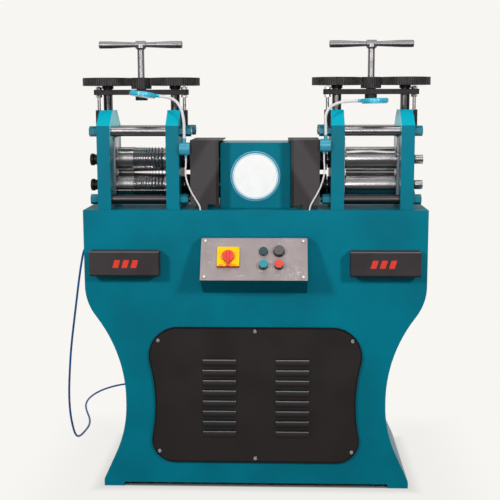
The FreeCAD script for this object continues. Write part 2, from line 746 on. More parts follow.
def build_cover():
    def slab(inset, y0, y1):
        face = cover_outline(inset)
        face.translate(V(0, y0, 0))
        return face.extrude(V(0, y1 - y0, 0))

    edging = slab(0, FRONT_Y - EDGING_DEPTH, FRONT_Y)
    edging = edging.cut(slab(EDGING_WIDTH, FRONT_Y - EDGING_DEPTH - 1, FRONT_Y + 1))
    save("vent_cover_edging", edging)

    wall = EDGING_WIDTH + SHEET
    cover = slab(EDGING_WIDTH, COVER_FACE_Y, FRONT_Y)
    cover = cover.cut(slab(wall, COVER_FACE_Y + SHEET, FRONT_Y + 1))
    hoods = []
    mouths = []
    for x in louvre_columns():
        for top in louvre_tops():
            hood = Part.makePolygon([
                V(x, COVER_FACE_Y, top), V(x, COVER_FACE_Y - LOUVRE_REACH, top),
                V(x, COVER_FACE_Y - LOUVRE_REACH, top - 2 * LOUVRE_WALL),
                V(x, COVER_FACE_Y, top - LOUVRE_HEIGHT), V(x, COVER_FACE_Y, top)])
            hoods.append(Part.Face(hood).extrude(V(LOUVRE_WIDTH, 0, 0)))
            x_in = x + LOUVRE_WALL
            mouth = Part.makePolygon([
                V(x_in, COVER_FACE_Y + SHEET + 1, top + 0.5),
                V(x_in, COVER_FACE_Y - LOUVRE_REACH + LOUVRE_WALL, top + 0.5),
                V(x_in, COVER_FACE_Y - LOUVRE_REACH + LOUVRE_WALL, top - 2 * LOUVRE_WALL),
                V(x_in, COVER_FACE_Y + SHEET + 1, top - LOUVRE_HEIGHT + LOUVRE_MOUTH_DROP),
                V(x_in, COVER_FACE_Y + SHEET + 1, top + 0.5)])
            mouths.append(Part.Face(mouth).extrude(V(LOUVRE_WIDTH - 2 * LOUVRE_WALL, 0, 0)))
    cover = fuse_all([cover] + hoods)
    tools = list(mouths)
    for x, z in cover_screw_places():
        tools.append(cyl_y(x, COVER_FACE_Y - 1, FRONT_Y + 1, z, SCREW_SHANK_D + 2 * SCREW_HOLE))
    save("vent_cover", cut_all(cover, tools))


def screw(head_centre, out, head_d, head_h, shank_d, shank_l):
    """Round-headed screw: head outside, shank going in."""
    head = Part.makeCylinder(head_d / 2, head_h, head_centre, out)
    shank = Part.makeCylinder(shank_d / 2, shank_l, head_centre, out * -1)
    crown = head_h * SCREW_CROWN_RATIO
    head = head.makeFillet(crown, [top_edge(head, head_centre + out * head_h)])
    return head.fuse(shank)


def top_edge(shape, point):
    """The circular edge round a face centre."""
    rings = [e for e in shape.Edges if hasattr(e.Curve, "Center")]
    return min(rings, key=lambda e: e.Curve.Center.distanceToPoint(point))


def build_panel_screws():
    screws = []
    for x, z in cover_screw_places():
        screws.append(screw(V(x, COVER_FACE_Y, z), V(0, -1, 0), SCREW_HEAD_D, SCREW_HEAD_H,
                            SCREW_SHANK_D, COVER_STAND + SHEET + SCREW_BITE))
    for x, s in plate_screw_places():
        screws.append(screw(on_face(x, s, 0), FACE_OUT, PLATE_SCREW_D, PLATE_SCREW_H,
                            PLATE_SCREW_SHANK_D, PLATE_THICK + SCREW_BITE))
    for side in (-1, 1):
        for y, z in side_bolt_places():
            screws.append(screw(V(side * SIDE_X, y, z), V(side, 0, 0), SIDE_BOLT_HEAD_D,
                                SIDE_BOLT_HEAD_H, SCREW_SHANK_D, SHEET + SIDE_BOLT_BITE))
    save("panel_screws", *screws)


# ---------------------------------------------------------------- control box
FACE_DOWN = V(0, -(BOX_REACH - BOX_TOP_REACH), -BOX_FACE_DROP).normalize()
FACE_OUT = V(0, FACE_DOWN.z, -FACE_DOWN.y)
FACE_LENGTH = math.hypot(BOX_REACH - BOX_TOP_REACH, BOX_FACE_DROP)
FACE_ORIGIN = V(0, FRONT_Y - BOX_TOP_REACH, BOX_TOP)


def on_face(x, s, out):
    """Point on the sloping faceplate, s down from its top edge and out from it."""
    return FACE_ORIGIN + V(x, 0, 0) + FACE_DOWN * s + FACE_OUT * out


def plate_screw_places():
    x = BOX_HALF - PLATE_SCREW_INSET
    high = PLATE_SCREW_TOP
    low = FACE_LENGTH - PLATE_SCREW_BOTTOM
    return [(-x, high), (x, high), (-x, low), (x, low)]


def face_cylinder(x, s, out0, out1, d):
    return Part.makeCylinder(d / 2, out1 - out0, on_face(x, s, out0), FACE_OUT)


def face_block(x0, x1, s0, s1, out0, out1):
    corners = [on_face(x0, s0, out0), on_face(x1, s0, out0), on_face(x1, s1, out0), on_face(x0, s1, out0)]
    face = Part.Face(Part.makePolygon(corners + [corners[0]]))
    return face.extrude(FACE_OUT * (out1 - out0))


def box_section(inset, x0, x1, face_inset):
    """Control box section; the sloping side has its own inset."""
    back = FRONT_Y
    top = BOX_TOP - inset
    lift = FACE_OUT * -face_inset
    upper = FACE_ORIGIN + lift
    lower = on_face(0, FACE_LENGTH, 0) + lift
    tan = FACE_DOWN.y / FACE_DOWN.z
    upper = V(0, upper.y + (top - upper.z) * tan, top)
    nose_z = BOX_TOP - BOX_FACE_DROP + inset * NOSE_INSET
    lower = V(0, lower.y + (nose_z - lower.z) * tan, nose_z)
    floor = BOX_FLOOR + inset * FLOOR_INSET
    points = [V(x0, back, top), V(x0, upper.y, upper.z), V(x0, lower.y, lower.z), V(x0, back, floor)]
    return Part.Face(Part.makePolygon(points + [points[0]])).extrude(V(x1 - x0, 0, 0))


def build_control_box():
    outer = box_section(0, -BOX_HALF, BOX_HALF, PLATE_THICK)
    hollow = box_section(SHEET, -BOX_HALF + SHEET, BOX_HALF - SHEET, PLATE_THICK + SHEET)
    rim = PLATE_MARGIN
    window = face_block(-BOX_HALF + rim, BOX_HALF - rim, rim, FACE_LENGTH - rim, -PLATE_THICK - 3 * SHEET, 1)
    holes = []
    for x, s in plate_screw_places():
        holes.append(face_cylinder(x, s, -BUTTON_BARREL_L, 1, PLATE_SCREW_SHANK_D + 2 * SCREW_HOLE))
    save("control_box", cut_all(outer, [hollow, window] + holes))

    middle = FACE_LENGTH / 2
    plate = face_block(-BOX_HALF, BOX_HALF, 0, FACE_LENGTH, -PLATE_THICK, 0)
    tools = list(holes)
    for x, s, _, _ in collar_places():
        tools.append(face_cylinder(x, s, -BUTTON_BARREL_L, 1, BUTTON_BARREL_D + 2 * SCREW_HOLE))
    centre = middle - ISOLATOR_LIFT
    tools.append(face_cylinder(ISOLATOR_X, centre, -BUTTON_BARREL_L, 1, ISOLATOR_HOLE_D))
    save("control_faceplate", cut_all(plate, tools))

    half = ISOLATOR_PLATE / 2
    thick = ISOLATOR_PLATE_T
    square = face_block(ISOLATOR_X - half, ISOLATOR_X + half, centre - half, centre + half, 0, thick)
    square = square.cut(face_cylinder(ISOLATOR_X, centre, -1, thick + 1, ISOLATOR_SPINDLE_D + 2 * RUNNING))
    save("isolator_plate", square)

    knob = face_cylinder(ISOLATOR_X, centre, thick, ISOLATOR_KNOB_TOP, ISOLATOR_KNOB_D)
    grip_w = ISOLATOR_GRIP_HALF_W
    grip = face_block(ISOLATOR_X - grip_w, ISOLATOR_X + grip_w, centre - ISOLATOR_GRIP_UP,
                      centre + ISOLATOR_GRIP_DOWN, ISOLATOR_KNOB_TOP - JOIN, ISOLATOR_GRIP_TOP)
    grip = grip.makeFillet(ISOLATOR_GRIP_R, grip.Edges)
    base = thick + ISOLATOR_POINTER_GAP
    root = ISOLATOR_POINTER_ROOT
    tip = ISOLATOR_POINTER_TIP
    end = centre + ISOLATOR_POINTER
    points = [on_face(ISOLATOR_X - root, centre, base), on_face(ISOLATOR_X + root, centre, base),
              on_face(ISOLATOR_X + tip, end, base), on_face(ISOLATOR_X - tip, end, base)]
    pointer = Part.Face(Part.makePolygon(points + [points[0]])).extrude(FACE_OUT * (ISOLATOR_KNOB_TOP - base))
    spindle = face_cylinder(ISOLATOR_X, centre, -ISOLATOR_SPINDLE_L, thick + JOIN, ISOLATOR_SPINDLE_D)
    save("isolator_knob", fuse_all([knob, grip, pointer, spindle]))

    collars = []
    for x, s, _, outer_d in collar_places():
        ring = face_cylinder(x, s, 0, BUTTON_COLLAR_H, outer_d)
        barrel = face_cylinder(x, s, -BUTTON_BARREL_L, JOIN, BUTTON_BARREL_D)
        bore = face_cylinder(x, s, -BUTTON_BARREL_L - 1, BUTTON_COLLAR_H + 1, BUTTON_STEM_D + 2 * RUNNING)
        ring = ring.fuse(barrel).cut(bore)
        collars.append(ring.removeSplitter())
    save("button_collars", *collars)

    pilot_s = middle - BUTTON_ROW
    pilot = face_cylinder(PILOT_X, pilot_s, BUTTON_COLLAR_H, PILOT_RISE, PILOT_D)
    socket = face_cylinder(PILOT_X, pilot_s, -BUTTON_BARREL_L, BUTTON_COLLAR_H + JOIN, BUTTON_STEM_D)
    save("pilot_lens", pilot.fuse(socket).removeSplitter())

    for name, (x, s, cap_d, _) in zip(("black_button", "green_button", "red_button"), button_places()):
        under = BUTTON_COLLAR_H + BUTTON_TRAVEL + LOOSE
        cap = face_cylinder(x, s, under, BUTTON_RISE, cap_d)
        stem = face_cylinder(x, s, -BUTTON_STEM_L, under + JOIN, BUTTON_STEM_D)
        save(name, fuse_all([cap, stem]))


def button_places():
    """Place on the face, cap and collar diameter of the black, the green and the red button."""
    middle = FACE_LENGTH / 2
    high = middle - BUTTON_ROW
    low = middle + BUTTON_ROW
    return [(BUTTON_X, high, BLACK_BUTTON_D, BLACK_COLLAR_D), (PILOT_X, low, BUTTON_D, BUTTON_COLLAR_D),
            (BUTTON_X, low, BUTTON_D, BUTTON_COLLAR_D)]


def collar_places():
    return button_places() + [(PILOT_X, FACE_LENGTH / 2 - BUTTON_ROW, PILOT_D, BUTTON_COLLAR_D)]


def build_stop_bars():
    base_h = STOP_STAND - STOP_TRAVEL - LOOSE
    bases = []
    for side, name in ((-1, "left_stop_bar"), (1, "right_stop_bar")):
        x = side * STOP_X
        base = box(x - STOP_BASE_HALF_W, x + STOP_BASE_HALF_W, FRONT_Y - base_h, FRONT_Y,
                   STOP_Z - STOP_BASE_HALF_H, STOP_Z + STOP_BASE_HALF_H)
        bore = cyl_y(x, FRONT_Y - base_h - 1, FRONT_Y + 1, STOP_Z, STOP_STEM_D + 2 * RUNNING)
        bases.append(base.cut(bore))
        half_x = STOP_LENGTH / 2
        half_z = STOP_HEIGHT / 2
        back = FRONT_Y - STOP_STAND
        front = back - STOP_THICK
        bar = box(x - half_x, x + half_x, front, back, STOP_Z - half_z, STOP_Z + half_z)
        upright = [e for e in bar.Edges if abs(e.tangentAt(e.FirstParameter).y) > 0.99]
        bar = bar.makeFillet(STOP_CORNER_R, upright)
        rim = [e for e in bar.Edges if abs(e.BoundBox.YMax - front) < 0.01]
        bar = bar.makeFillet(STOP_RIM_R, rim)
        stem = cyl_y(x, back - JOIN, FRONT_Y + SHEET + STOP_STEM_L, STOP_Z, STOP_STEM_D)
        save(name, bar.fuse(stem).removeSplitter())
    save("stop_bar_bases", *bases)


# ---------------------------------------------------------------- mill heads
def head_sides(head):
    """Outer and inner frame middles of a head: head is -1 for the left one, 1 for the right one."""
    return (head * (HEAD_X + FRAME_X), head * (HEAD_X - FRAME_X))


def side_frame(x):
    front = FRONT_Y + FRAME_SETBACK
    back = front + FRAME_DEPTH
    x0 = x - FRAME_THICK / 2
    section = [
        V(x0, front, DECK_Z), V(x0, back, DECK_Z), V(x0, back, FRAME_TOP - CHAMFER_DROP),
        V(x0, back - CHAMFER_RUN, FRAME_TOP), V(x0, front + CHAMFER_RUN, FRAME_TOP),
        V(x0, front, FRAME_TOP - CHAMFER_DROP),
    ]
    plate = Part.Face(Part.makePolygon(section + [section[0]])).extrude(V(FRAME_THICK, 0, 0))
    x1 = x0 + FRAME_THICK
    half = WINDOW_WIDTH / 2
    tools = [box(x0 - 1, x1 + 1, ROLL_Y - half, ROLL_Y + half, WINDOW_BOTTOM, WINDOW_TOP)]
    tools.append(cyl_z(x, ROLL_Y, WINDOW_TOP - 1, FRAME_TOP + 1, SCREW_D + 2 * RUNNING))
    for y in (TIE_FRONT_Y, TIE_BACK_Y):
        for z in (TIE_LOW_Z, TIE_TOP_Z):
            tools.append(cyl_x(x0 - 1, x1 + 1, y, z, TIE_THREAD_D + 2 * SCREW_HOLE))
    return cut_all(plate, tools)


def tie_rod(head, y, z, inner_reach):
    """Shouldered rod between the frames with a threaded end through each."""
    middle = cyl_x(head * HEAD_X - FRAME_INNER, head * HEAD_X + FRAME_INNER, y, z, TIE_D)
    outer = FRAME_OUTER + TIE_NUT_LENGTH + TIE_END_SHORT
    inner = FRAME_OUTER + inner_reach
    left_reach = outer if head < 0 else inner
    right_reach = inner if head < 0 else outer
    ends = cyl_x(head * HEAD_X - left_reach, head * HEAD_X + right_reach, y, z, TIE_THREAD_D)
    return middle.fuse(ends).removeSplitter()


def tie_nut(x0, x1, y, z):
    nut = hexagon_x(x0, x1, y, z, TIE_NUT_AF)
    return nut.cut(cyl_x(x0 - 1, x1 + 1, y, z, TIE_THREAD_D))


def build_head_frames():
    rods = []
    nuts = []
    for head, name in ((-1, "left_mill_frames"), (1, "right_mill_frames")):
        save(name, *[side_frame(x) for x in head_sides(head)])
        outer_face = head * (HEAD_X + FRAME_OUTER)
        inner_face = head * (HEAD_X - FRAME_OUTER)
        for y in (TIE_FRONT_Y, TIE_BACK_Y):
            for z in (TIE_LOW_Z, TIE_TOP_Z):
                double = z == TIE_TOP_Z
                nut_stack = 2 * TIE_STACKED_NUT_LENGTH if double else TIE_NUT_LENGTH
                shown = TIE_END_SHORT if double else TIE_END_LONG
                rods.append(tie_rod(head, y, z, nut_stack + shown))
                ends = sorted((outer_face, outer_face + head * TIE_NUT_LENGTH))
                nuts.append(tie_nut(ends[0], ends[1], y, z))
                if double:
                    for k in (0, 1):
                        near = inner_face - head * TIE_STACKED_NUT_LENGTH * k
                        ends = sorted((near, near - head * (TIE_STACKED_NUT_LENGTH - TIE_STACKED_NUT_GAP)))
                        nuts.append(tie_nut(ends[0], ends[1], y, z))
                else:
                    ends = sorted((inner_face, inner_face - head * nut_stack))
                    nuts.append(tie_nut(ends[0], ends[1], y, z))
    return rods, nuts


def build_bridges(rods, nuts):
    bridges = []
    brackets = []
    for head in (-1, 1):
        middle = head * HEAD_X
        half = BRIDGE_WIDTH / 2
        bar = box(middle - BRIDGE_HALF, middle + BRIDGE_HALF, ROLL_Y - half, ROLL_Y + half,
                  BRIDGE_BOTTOM, BRIDGE_TOP)
        upright = [e for e in bar.Edges if abs(e.tangentAt(e.FirstParameter).z) > 0.99]
        bar = bar.makeFillet(BRIDGE_CORNER_R, upright)
        boss_z = BRIDGE_BOTTOM - BRIDGE_BOSS_H
        bar = bar.fuse(cyl_z(middle, ROLL_Y, boss_z, BRIDGE_BOTTOM + JOIN, BRIDGE_BOSS_D))
        tools = [cyl_z(middle, ROLL_Y, boss_z - 1, BRIDGE_TOP + 1, HANDLE_SHAFT_D + 2 * RUNNING)]
        for side in (-1, 1):
            tools.append(cyl_z(middle + side * FRAME_X, ROLL_Y, BRIDGE_BOTTOM - 1, BRIDGE_TOP + 1,
                               SCREW_D + 2 * RUNNING))
            stud_x = middle + side * STUD_X
            tools.append(cyl_z(stud_x, ROLL_Y, BRIDGE_BOTTOM - 1, BRIDGE_TOP + 1, STUD_D + 2 * SCREW_HOLE))
            stud_top = BRIDGE_TOP + STUD_NUT_H + STUD_END
            rods.append(cyl_z(stud_x, ROLL_Y, FRAME_TOP - STUD_BRACKET_H, stud_top, STUD_D))
            for z0 in (BRIDGE_BOTTOM - STUD_NUT_H, BRIDGE_TOP):
                nut = hexagon_z(stud_x, ROLL_Y, z0, z0 + STUD_NUT_H, STUD_NUT_AF)
                nuts.append(nut.cut(cyl_z(stud_x, ROLL_Y, z0 - 1, z0 + STUD_NUT_H + 1, STUD_D)))
            face = middle + side * FRAME_OUTER
            far = middle + side * (STUD_X + STUD_D / 2 + STUD_WALL)
            x0 = min(face, far)
            x1 = max(face, far)
            bracket = box(x0, x1, ROLL_Y - STUD_BRACKET_W / 2, ROLL_Y + STUD_BRACKET_W / 2,
                          FRAME_TOP - STUD_BRACKET_H, FRAME_TOP)
            stud_bore = cyl_z(stud_x, ROLL_Y, FRAME_TOP - STUD_BRACKET_H - 1, FRAME_TOP + 1, STUD_D)
            brackets.append(bracket.cut(stud_bore))
        bridges.append(cut_all(bar, tools).removeSplitter())
    save("bridges", *bridges)
    save("stud_brackets", *brackets)
    save("tie_rods_and_studs", *rods)
    save("frame_nuts", *nuts)


def chock(x, towards, z, z0, z1):
    """Bearing block in a frame window; towards is the X direction out of the head."""
    inner = x - towards * (FRAME_THICK / 2 + CHOCK_INNER_LIP)
    outer = x + towards * FRAME_THICK / 2
    half = WINDOW_WIDTH / 2 - SLIDING
    block = box(min(inner, outer), max(inner, outer), ROLL_Y - half, ROLL_Y + half, z0, z1)
    cover_end = outer + towards * CHOCK_COVER_T
    cover = cyl_x(min(outer, cover_end), max(outer, cover_end), ROLL_Y, z, CHOCK_COVER_D)
    neck = sorted((inner - towards, outer - towards * NECK_END_PLAY))
    neck = cyl_x(neck[0], neck[1], ROLL_Y, z, ROLL_NECK_D + 2 * RUNNING)
    bore = sorted((inner, cover_end + towards))
    bore = cyl_x(bore[0], bore[1], ROLL_Y, z, ROLL_JOURNAL_D + 2 * RUNNING)
    return cut_all(block.fuse(cover), [neck, bore]).removeSplitter()


def build_chocks():
    lower = []
    for head, name in ((-1, "left"), (1, "right")):
        upper = []
        for x, towards in zip(head_sides(head), (head, -head)):
            lower.append(chock(x, towards, LOWER_Z, WINDOW_BOTTOM, LOWER_Z + ROLL_D / 2))
            block = chock(x, towards, UPPER_Z, UPPER_Z - ROLL_D / 2, CHOCK_TOP)
            socket = cyl_z(x, ROLL_Y, CHOCK_TOP - SCREW_TIP_H, CHOCK_TOP + 1, SCREW_TIP_D + 2 * RUNNING)
            upper.append(block.cut(socket))
        save(name + "_upper_chocks", *upper)
    save("lower_chocks", *lower)


def roll_profile(grooved):
    """Half section of a roll body, (x, radius), x from its own middle."""
    points = [(-ROLL_HALF, ROLL_D / 2)]
    if grooved:
        grooves = sum(GROOVE_FIRST + GROOVE_STEP * i + GROOVE_LAND for i in range(GROOVE_COUNT))
        x = ROLL_HALF - GROOVE_END_LAND - grooves
        for i in range(GROOVE_COUNT):
            width = GROOVE_FIRST + GROOVE_STEP * i
            points.append((x, ROLL_D / 2))
            points.append((x + width / 2, ROLL_D / 2 - width * GROOVE_DEPTH_RATIO))
            points.append((x + width, ROLL_D / 2))
            x += width + GROOVE_LAND
    points.append((ROLL_HALF, ROLL_D / 2))
    return points


def roll(head, z, grooved, driven):
    middle = head * HEAD_X
    collar = FRAME_INNER - CHOCK_INNER_LIP - NECK_END_PLAY
    neck = FRAME_OUTER - 2 * NECK_END_PLAY
    profile = [V(middle - ROLL_HALF, ROLL_Y, z)]
    for x, r in roll_profile(grooved):
        profile.append(V(middle + x, ROLL_Y, z + r))
    profile.append(V(middle + ROLL_HALF, ROLL_Y, z))
    body = turned(profile, V(middle, ROLL_Y, z), V(1, 0, 0))
    pieces = [body, cyl_x(middle - collar, middle + collar, ROLL_Y, z, ROLL_COLLAR_D)]
    pieces.append(cyl_x(middle - neck, middle + neck, ROLL_Y, z, ROLL_NECK_D))
    outer_face = HEAD_X + FRAME_OUTER
    journal_end = outer_face + (CHOCK_COVER_T + STUB_SHOULDER if head > 0 else CAP_SEAT_REACH)
    journal = sorted((head * journal_end, head * SLEEVE_OUTER))
    pieces.append(cyl_x(journal[0], journal[1], ROLL_Y, z, ROLL_JOURNAL_D))
    # coupling sleeve with a cup that takes the drive shaft's end
    sleeve = sorted((head * SLEEVE_INNER, head * SLEEVE_OUTER))
    sleeve = cyl_x(sleeve[0], sleeve[1], ROLL_Y, z, SLEEVE_D)
    bore = SHAFT_D + 2 * RUNNING if driven else SLEEVE_BORE
    cup = sorted((head * (SLEEVE_INNER - 1), head * CUP_FLOOR))
    pieces.append(sleeve.cut(cyl_x(cup[0], cup[1], ROLL_Y, z, bore)))
    if head < 0:
        pieces.append(end_cap(z))
    else:
        pieces.append(cyl_x(journal_end - JOIN, outer_face + STUB_REACH, ROLL_Y, z, ROLL_STUB_D))
    return fuse_all(pieces)


def end_cap(z):
    """Round black cap on the outer end of a left-hand roll."""
    x = -(HEAD_X + FRAME_OUTER + CHOCK_COVER_T + 1)
    stem = cyl_x(x - CAP_STEM_L, x, ROLL_Y, z, CAP_STEM_D)
    disc = cyl_x(x - CAP_STEM_L - CAP_T + JOIN, x - CAP_STEM_L + JOIN, ROLL_Y, z, CAP_D)
    rim = [e for e in disc.Edges if hasattr(e.Curve, "Center")]
    return stem.fuse(disc.makeFillet(CAP_R, rim))


def build_rolls():
    for head, name in ((-1, "left"), (1, "right")):
        save(name + "_upper_roll", roll(head, UPPER_Z, head < 0, False))
        save(name + "_lower_roll", roll(head, LOWER_Z, head < 0, True))


def build_screws():
    for head, side_name in ((-1, "left"), (1, "right")):
        for x, place in zip(head_sides(head), ("outer", "inner")):
            gear = spur_gear(GEAR_TEETH, GEAR_MODULE, TOOTH_ADDENDUM, TOOTH_DEDENDUM, math.pi / GEAR_TEETH,
                             V(x, ROLL_Y, GEAR_BOTTOM), V(1, 0, 0), V(0, 1, 0), GEAR_THICK)
            hub = cyl_z(x, ROLL_Y, GEAR_BOTTOM - GEAR_HUB_H, GEAR_BOTTOM + JOIN, GEAR_HUB_D)
            shank = cyl_z(x, ROLL_Y, CHOCK_TOP, GEAR_TOP + SCREW_HEAD_RISE, SCREW_D)
            tip_end = CHOCK_TOP - SCREW_TIP_H + SCREW_TIP_PLAY
            tip = cyl_z(x, ROLL_Y, tip_end, CHOCK_TOP + JOIN, SCREW_TIP_D)
            save(side_name + "_" + place + "_screw", fuse_all([gear, hub, shank, tip]))


def build_handles():
    for head, name in ((-1, "left"), (1, "right")):
        middle = head * HEAD_X
        pinion = spur_gear(PINION_TEETH, GEAR_MODULE, TOOTH_ADDENDUM, TOOTH_DEDENDUM, 0.0,
                           V(middle, ROLL_Y, PINION_BOTTOM), V(1, 0, 0), V(0, 1, 0), PINION_HEIGHT)
        shoulder = cyl_z(middle, ROLL_Y, BRIDGE_TOP, PINION_BOTTOM + JOIN, PINION_SHOULDER_D)
        pinion = pinion.fuse(shoulder)
        pinion = pinion.cut(cyl_z(middle, ROLL_Y, BRIDGE_TOP - 1, PINION_TOP + 1, HANDLE_SHAFT_D))
        save(name + "_pinion", pinion.removeSplitter())

        shaft = cyl_z(middle, ROLL_Y, BRIDGE_BOTTOM - BRIDGE_BOSS_H, HANDLE_Z, HANDLE_SHAFT_D)
        half = HANDLE_HALF
        end_r = HANDLE_END_D / 2
        mid_r = HANDLE_MID_D / 2
        chamfer = HANDLE_END_CHAMFER
        steps = [(half, end_r - chamfer), (half - chamfer, end_r), (half - HANDLE_GRIP_L, end_r),
                 (HANDLE_HUB_L / 2, mid_r)]
        steps = [(-x, r) for x, r in steps] + list(reversed(steps))
        profile = [V(middle - half, ROLL_Y, HANDLE_Z)]
        for x, r in steps:
            profile.append(V(middle + x, ROLL_Y, HANDLE_Z + r))
        profile.append(V(middle + half, ROLL_Y, HANDLE_Z))
        bar = turned(profile, V(middle, ROLL_Y, HANDLE_Z), V(1, 0, 0))
        hub = cyl_x(middle - HANDLE_HUB_L / 2, middle + HANDLE_HUB_L / 2, ROLL_Y, HANDLE_Z, HANDLE_HUB_D)
        collar_z = HANDLE_Z - HANDLE_COLLAR_DROP
        cone_base = V(middle, ROLL_Y, collar_z - HANDLE_CONE_H)
        neck = Part.makeCone(HANDLE_SHAFT_D / 2, HANDLE_HUB_L / 2, HANDLE_CONE_H, cone_base, V(0, 0, 1))
        collar = cyl_z(middle, ROLL_Y, collar_z, HANDLE_Z, HANDLE_HUB_L)
        save(name + "_handle", fuse_all([shaft, bar, hub, neck, collar]))


def build_wire_guide():
    """Thin guide rod in front of the left head's lower roll, with a small knob."""
    x0 = -HEAD_X - FRAME_INNER
    x1 = -HEAD_X + FRAME_INNER
    y = FRONT_Y + GUIDE_DEPTH
    z = LOWER_Z - GUIDE_DROP
    rod = cyl_x(x0, x1, y, z, GUIDE_D)
    knob_end = x1 - GUIDE_KNOB_INSET
    knob = cyl_x(knob_end - GUIDE_KNOB_L, knob_end, y, z, GUIDE_KNOB_D)
    save("wire_guide", rod.fuse(knob).removeSplitter())


# ---------------------------------------------------------------- central drive
def build_housing():
    y1 = HOUSING_Y + HOUSING_DEPTH
    shell = box(-HOUSING_HALF, HOUSING_HALF, HOUSING_Y, y1, DECK_Z, HOUSING_TOP)
    upright = [e for e in shell.Edges if abs(e.tangentAt(e.FirstParameter).z) > 0.99]
    shell = shell.makeFillet(HOUSING_EDGE_R, upright)
    wall = HOUSING_WALL
    inner = HOUSING_HALF - wall
    hollow = box(-inner, inner, HOUSING_Y + wall, y1 - wall, DECK_Z - 1, HOUSING_TOP - wall)
    bores = []
    for z in (LOWER_Z, UPPER_Z):
        bores.append(cyl_x(-HOUSING_HALF - 1, HOUSING_HALF + 1, ROLL_Y, z, SHAFT_D + 2 * RUNNING))
    save("drive_housing", cut_all(shell, [hollow] + bores))

    badge = cyl_y(0, HOUSING_Y - BADGE_THICK, HOUSING_Y, DECK_Z + BADGE_RISE, BADGE_D)
    save("blank_badge", badge)


def guard(side):
    """Folded sheet guard over a coupling: front, top, outer side and rear, with two feet."""
    y0 = GUARD_Y
    y1 = GUARD_Y + GUARD_DEPTH
    top = DECK_Z + GUARD_RISE
    bottom = DECK_Z + GUARD_SKIRT
    t = SHEET
    outer = box(HOUSING_HALF, GUARD_OUTER, y0, y1, bottom, top)
    room = box(HOUSING_HALF - 1, GUARD_OUTER - t, y0 + t, y1 - t, bottom - 1, top - t)
    sheet = outer.cut(room)
    lip = box(HOUSING_HALF - GUARD_LIP, HOUSING_HALF + JOIN, y0, y1, top - t, top)
    feet = []
    for y in (y0, y1 - t):
        half = GUARD_FOOT_W / 2
        feet.append(box(GUARD_FOOT_X - half, GUARD_FOOT_X + half, y, y + t, DECK_Z, bottom + JOIN))
    slot = box(GUARD_OUTER - t - 1, GUARD_OUTER + 1, ROLL_Y - GUARD_SLOT_HALF, ROLL_Y + GUARD_SLOT_HALF,
               LOWER_Z - GUARD_SLOT_BELOW, UPPER_Z + GUARD_SLOT_ABOVE)
    sheet = fuse_all([sheet, lip] + feet).cut(slot)
    return sheet if side > 0 else mirrored(sheet)


def build_shafts():
    lower = cyl_x(-CUP_FLOOR, CUP_FLOOR, ROLL_Y, LOWER_Z, SHAFT_D)
    pitch = (UPPER_Z - LOWER_Z) / DRIVE_TEETH
    x0 = DRIVE_GEAR_X - DRIVE_GEAR_WIDTH / 2
    lower_gear = spur_gear(DRIVE_TEETH, pitch, DRIVE_ADDENDUM, DRIVE_DEDENDUM, 0.0, V(x0, ROLL_Y, LOWER_Z),
                           V(0, 1, 0), V(0, 0, 1), DRIVE_GEAR_WIDTH)
    wheel = cyl_x(WHEEL_X - WHEEL_WIDTH / 2, WHEEL_X + WHEEL_WIDTH / 2, ROLL_Y, LOWER_Z, WHEEL_D)
    save("lower_drive_shaft", fuse_all([lower, lower_gear, wheel]))

    reach = CUP_FLOOR - UPPER_SHAFT_SHORT
    upper = cyl_x(-reach, reach, ROLL_Y, UPPER_Z, SHAFT_D)
    upper_gear = spur_gear(DRIVE_TEETH, pitch, DRIVE_ADDENDUM, DRIVE_DEDENDUM, math.pi / DRIVE_TEETH,
                           V(x0, ROLL_Y, UPPER_Z), V(0, 1, 0), V(0, 0, 1), DRIVE_GEAR_WIDTH)
    save("upper_drive_shaft", fuse_all([upper, upper_gear]))


def build_motor():
    top = DECK_Z - DECK_THICK
    half = MOTOR_FLANGE / 2
    x = WHEEL_X
    flange = box(x - half, x + half, WORM_Y - half, WORM_Y + half, top - MOTOR_FLANGE_T, top)
    under = top - MOTOR_FLANGE_T
    barrel = cyl_z(x, WORM_Y, under - MOTOR_LENGTH, under + JOIN, MOTOR_D)
    radius = MOTOR_D / 2
    step = 360 / MOTOR_FIN_COUNT
    fins = []
    for i in range(MOTOR_FIN_COUNT):
        fin = box(radius - MOTOR_FIN_SINK, radius + MOTOR_FIN_H, -MOTOR_FIN_T / 2, MOTOR_FIN_T / 2,
                  under - MOTOR_LENGTH + MOTOR_FIN_BOTTOM, under - MOTOR_FIN_TOP)
        fin.rotate(V(0, 0, 0), V(0, 0, 1), step * (i + 0.5))
        fin.translate(V(x, WORM_Y, 0))
        fins.append(fin)
    terminal = box(x - TERMINAL_HALF, x + TERMINAL_HALF, WORM_Y - radius - TERMINAL_REACH, WORM_Y,
                   top - TERMINAL_BOTTOM, top - TERMINAL_TOP)
    bore = cyl_z(x, WORM_Y, top - MOTOR_BORE_L, top + 1, MOTOR_SHAFT_D + 2 * RUNNING)
    save("motor", fuse_all([flange, barrel, terminal] + fins).cut(bore))

    worm_top = LOWER_Z + WORM_LENGTH / 2
    spindle = cyl_z(x, WORM_Y, top - MOTOR_SHAFT_L, worm_top + WORM_SPINDLE_END, MOTOR_SHAFT_D)
    worm = cyl_z(x, WORM_Y, worm_top - WORM_LENGTH, worm_top, WORM_D)
    save("motor_worm", fuse_all([spindle, worm]))


# ---------------------------------------------------------------- work lamps
LAMP_Y = FRONT_Y + LAMP_SETBACK
LAMP_X = GUARD_OUTER + LAMP_BASE_L / 2 + 1
LEAD_HOLE_Y = FRONT_Y + LEAD_HOLE_DEPTH
# lead bends: distance outside the guard's side, depth behind the cabinet front, share of the fall left
LEAD_BENDS = (
    (11, LAMP_SETBACK, 0.88), (13, 9.5, 0.72), (10, 6.6, 0.57),
    (3, 6.4, 0.43), (-6, 6.4, 0.30), (-17, 6.2, 0.17),
)


